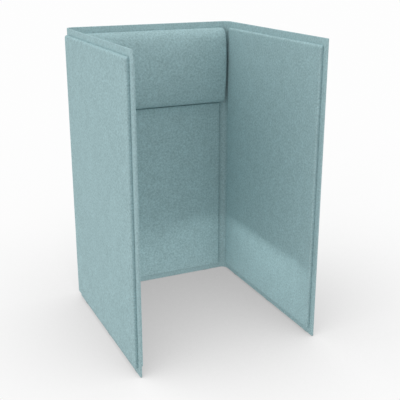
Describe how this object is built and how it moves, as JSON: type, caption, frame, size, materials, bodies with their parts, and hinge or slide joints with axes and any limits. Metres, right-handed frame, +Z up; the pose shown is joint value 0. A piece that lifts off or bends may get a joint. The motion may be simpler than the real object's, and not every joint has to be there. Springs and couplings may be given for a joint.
{
  "type": "seating partition",
  "caption": "Free-standing U-shaped acoustic seating partition with rounded rear corners, upholstered pads on both faces and a crowned head cushion.",
  "frame": {"origin": "on the floor, at the middle of the overall footprint (bounding box bottom centre)", "axes": "+Z up, the open side faces -Y, the closed back lies at +Y, the two wings stand at -X and +X"},
  "size_m": [0.916, 0.953, 1.4],
  "materials": {
    "cover_cloth": "wool felt upholstery cloth, fine melange in pale teal",
    "carrier_felt": "thin felt laminated to the boards, pale teal",
    "foam": "open-cell upholstery foam",
    "backing_board": "hardboard",
    "core_board": "birch plywood",
    "strip_steel": "rolled strip",
    "clip_plastic": "moulded nylon",
    "glide_plastic": "moulded polyethylene, light grey"
  },
  "bodies": {
    "root": {"left_board": "core_board", "back_board": "core_board", "right_board": "core_board", "left_corner": "core_board", "right_corner": "core_board", "left_wing_strip": "strip_steel", "left_back_strip": "strip_steel", "right_back_strip": "strip_steel", "right_wing_strip": "strip_steel", "outer_skin": "carrier_felt", "inner_skin": "carrier_felt", "top_edge_band": "carrier_felt", "bottom_edge_band": "carrier_felt", "left_edge_band": "carrier_felt", "right_edge_band": "carrier_felt", "left_sockets": "clip_plastic", "back_sockets": "clip_plastic", "right_sockets": "clip_plastic", "glides": "glide_plastic", "outer_left_backing": "backing_board", "outer_left_foam": "foam", "outer_left_cover": "cover_cloth", "outer_left_clips": "clip_plastic", "outer_back_backing": "backing_board", "outer_back_foam": "foam", "outer_back_cover": "cover_cloth", "outer_back_clips": "clip_plastic", "outer_right_backing": "backing_board", "outer_right_foam": "foam", "outer_right_cover": "cover_cloth", "outer_right_clips": "clip_plastic", "inner_left_backing": "backing_board", "inner_left_foam": "foam", "inner_left_cover": "cover_cloth", "inner_left_clips": "clip_plastic", "inner_right_backing": "backing_board", "inner_right_foam": "foam", "inner_right_cover": "cover_cloth", "inner_right_clips": "clip_plastic", "lower_back_backing": "backing_board", "lower_back_foam": "foam", "lower_back_cover": "cover_cloth", "lower_back_clips": "clip_plastic", "head_backing": "backing_board", "head_foam": "foam", "head_cover": "cover_cloth", "head_clips": "clip_plastic"}
  },
  "joints": []
}
